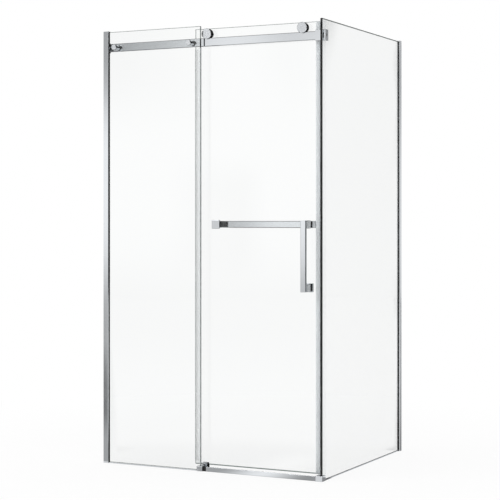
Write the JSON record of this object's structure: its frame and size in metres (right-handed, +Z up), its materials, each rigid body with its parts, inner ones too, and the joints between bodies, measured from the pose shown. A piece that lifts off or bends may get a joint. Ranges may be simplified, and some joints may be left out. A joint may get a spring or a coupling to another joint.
{
  "type": "shower enclosure",
  "caption": "Corner shower enclosure: a fixed glass panel, a glass door that slides on a flat rail, and a glass return panel, with wall channels, a pull handle and a towel bar.",
  "frame": {"origin": "on the floor, at the middle of the enclosure's plan", "axes": "+X along the front towards the return panel, +Y from the front towards the back wall, +Z up"},
  "size_m": [1.076, 0.925, 1.93],
  "materials": {
    "chrome": "polished",
    "glass": "clear tempered, polished edges",
    "clear_vinyl": "clear flexible vinyl",
    "black_rubber": "matte",
    "black_nylon": "satin",
    "white_nylon": "satin",
    "steel": "turned"
  },
  "bodies": {
    "frame": {"wall_profile_left": "chrome", "wall_profile_back": "chrome", "profile_cap_left": "chrome", "profile_cap_back": "chrome", "wall_gaskets_left": "black_rubber", "wall_gaskets_back": "black_rubber", "fixed_panel_glass": "glass", "return_panel_glass": "glass", "fixed_panel_bottom_strip": "chrome", "return_panel_bottom_strip": "chrome", "slide_rail": "chrome", "rail_bolts": "steel", "rail_bolt_caps": "chrome", "rail_bolt_spacers": "chrome", "rail_bolt_bushes": "black_nylon", "rail_bolt_pads": "black_rubber", "rail_wall_bracket": "black_nylon", "rail_wall_bracket_set_screw": "steel", "corner_bracket": "chrome", "corner_bracket_set_screw": "steel", "corner_bracket_plate": "chrome", "corner_bracket_bolt": "steel", "corner_bracket_bush": "white_nylon", "corner_bracket_pads": "black_rubber", "bottom_corner_block": "chrome", "threshold_sill": "chrome", "sill_end_seal": "black_rubber", "door_guide_block": "chrome", "door_guide_set_screw": "steel", "door_guide_liner": "black_nylon", "fixed_panel_edge_seal": "clear_vinyl"},
    "door": {"door_glass": "glass", "door_leading_seal": "clear_vinyl", "door_trailing_seal": "clear_vinyl", "roller_axle_left": "steel", "roller_axle_right": "steel", "bearing_inner_race_left": "steel", "bearing_inner_race_right": "steel", "axle_retaining_rings": "steel", "roller_glass_bushes": "white_nylon", "roller_glass_pads": "black_rubber", "roller_cap_nuts": "chrome", "handle_bar": "chrome", "handle_posts": "chrome", "handle_inner_cap": "chrome", "towel_bar": "chrome", "towel_bar_posts": "chrome", "towel_bar_outer_cap": "chrome", "pull_studs": "steel", "pull_glass_bushes": "white_nylon", "pull_glass_pads": "black_rubber"},
    "left_roller": {"roller_wheel_left": "black_nylon", "roller_cover_left": "chrome", "bearing_outer_race_left": "steel", "bearing_balls_left": "steel"},
    "right_roller": {"roller_wheel_right": "black_nylon", "roller_cover_right": "chrome", "bearing_outer_race_right": "steel", "bearing_balls_right": "steel"}
  },
  "joints": [
    {"name": "door_slide", "type": "slide", "parent": "frame", "child": "door", "axis": [-1, 0, 0], "range_m": [0, 0.42]},
    {"name": "left_roller_spin", "type": "hinge", "parent": "door", "child": "left_roller", "pos_m": [-0.02507, -0.4235, 1.8943], "axis": [0, 1, 0], "continuous": true},
    {"name": "right_roller_spin", "type": "hinge", "parent": "door", "child": "right_roller", "pos_m": [0.43, -0.4235, 1.8943], "axis": [0, 1, 0], "continuous": true}
  ],
  "couplings": [
    {"joint": "left_roller_spin", "follows": "door_slide", "rad_per_m": -55.556},
    {"joint": "right_roller_spin", "follows": "door_slide", "rad_per_m": -55.556}
  ]
}
